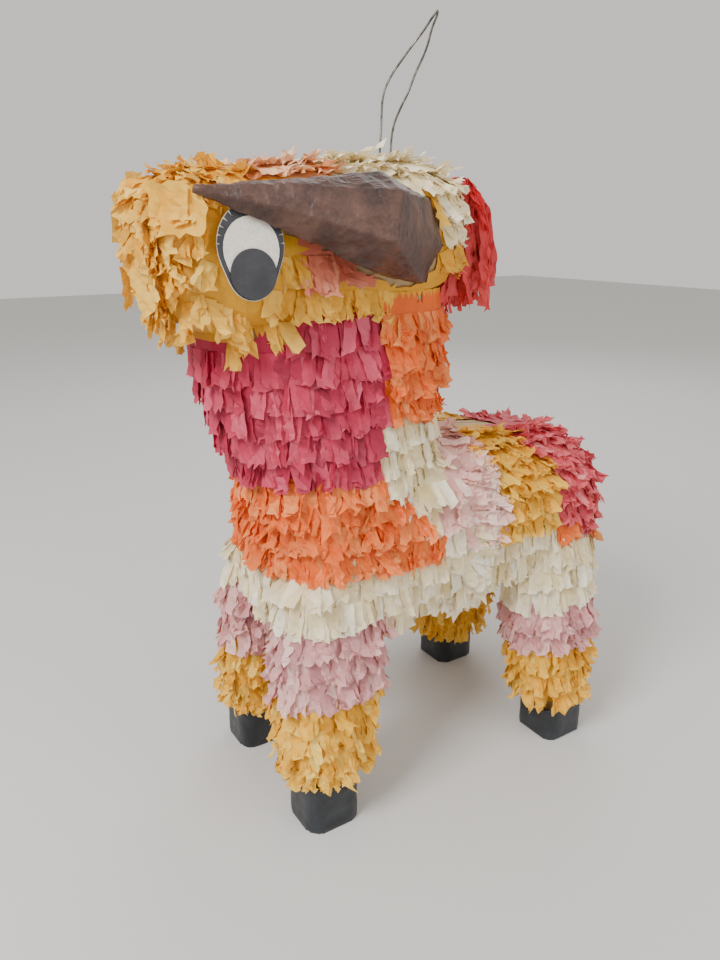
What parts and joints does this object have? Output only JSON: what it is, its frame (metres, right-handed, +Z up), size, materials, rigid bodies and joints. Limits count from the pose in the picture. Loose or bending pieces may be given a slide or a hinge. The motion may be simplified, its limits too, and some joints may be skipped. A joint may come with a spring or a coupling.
{
  "type": "pinata",
  "caption": "Hollow papier-mache bull pinata covered in bands of fringed crepe paper, with curved paper horns, card eyes, a wire hanging loop and a filling flap in its back.",
  "frame": {"origin": "on the floor under the middle of the object's bounding box, between the four hooves", "axes": "+Z up, the bull faces -Y, +X is the bull's own left side"},
  "size_m": [0.2818, 0.5178, 0.7178],
  "materials": {
    "papier_mache": "matte",
    "paper_tape": "matte",
    "dowel_wood": "matte",
    "steel_wire": "satin",
    "horn_brown": "satin",
    "card_white": "matte",
    "card_black": "satin",
    "hoof_black": "satin",
    "crepe_lilac": "matte",
    "crepe_yellow": "matte",
    "crepe_gold": "matte",
    "crepe_peach": "matte",
    "crepe_cream": "matte",
    "crepe_salmon": "matte",
    "crepe_magenta": "matte",
    "crepe_orange": "matte",
    "crepe_pink": "matte",
    "crepe_rose": "matte",
    "crepe_red": "matte"
  },
  "bodies": {
    "shell": {"body_shell": "papier_mache", "neck_shell": "papier_mache", "head_shell": "papier_mache", "flap_tape_upper": "paper_tape", "hanger_dowel": "dowel_wood", "horn_left": "horn_brown", "horn_right": "horn_brown", "eye_backing_left": "card_white", "eye_lashes_left": "card_black", "eye_white_left": "card_white", "eye_pupil_left": "card_black", "eye_backing_right": "card_white", "eye_lashes_right": "card_black", "eye_white_right": "card_white", "eye_pupil_right": "card_black", "leg_front_left": "papier_mache", "leg_front_right": "papier_mache", "leg_rear_left": "papier_mache", "leg_rear_right": "papier_mache", "hoof_front_left": "hoof_black", "hoof_front_right": "hoof_black", "hoof_rear_left": "hoof_black", "hoof_rear_right": "hoof_black", "thigh_fringe_front_left": "crepe_lilac", "thigh_fringe_front_right": "crepe_lilac", "thigh_fringe_rear_left": "crepe_lilac", "thigh_fringe_rear_right": "crepe_lilac", "shin_fringe_front_left": "crepe_yellow", "shin_fringe_front_right": "crepe_yellow", "shin_fringe_rear_left": "crepe_yellow", "shin_fringe_rear_right": "crepe_yellow", "face_fringe_gold": "crepe_gold", "brow_fringe_peach": "crepe_peach", "crown_fringe_cream": "crepe_cream", "cheek_fringe_salmon": "crepe_salmon", "neck_fringe_magenta": "crepe_magenta", "neck_fringe_orange": "crepe_orange", "nape_fringe_cream": "crepe_cream", "chest_fringe_orange": "crepe_orange", "shoulder_fringe_pink": "crepe_pink", "saddle_fringe_yellow": "crepe_yellow", "rump_fringe_rose": "crepe_rose", "rump_fringe_orange": "crepe_orange", "belly_fringe_cream": "crepe_cream", "poll_tassel": "crepe_red", "tail": "crepe_orange"},
    "flap": {"fill_flap": "papier_mache", "flap_tape_lower": "paper_tape", "flap_fringe_yellow": "crepe_yellow"},
    "hanger": {"hanger_wire": "steel_wire"}
  },
  "joints": [
    {"name": "flap_hinge", "type": "hinge", "parent": "shell", "child": "flap", "pos_m": [-0.008, 0.066, 0.34128], "axis": [0, 0.9934, -0.1146], "range_deg": [0, 100]},
    {"name": "hanger_tilt", "type": "hinge", "parent": "shell", "child": "hanger", "pos_m": [0, -0.031, 0.58], "axis": [1, 0, 0], "range_deg": [-20, 25]}
  ]
}
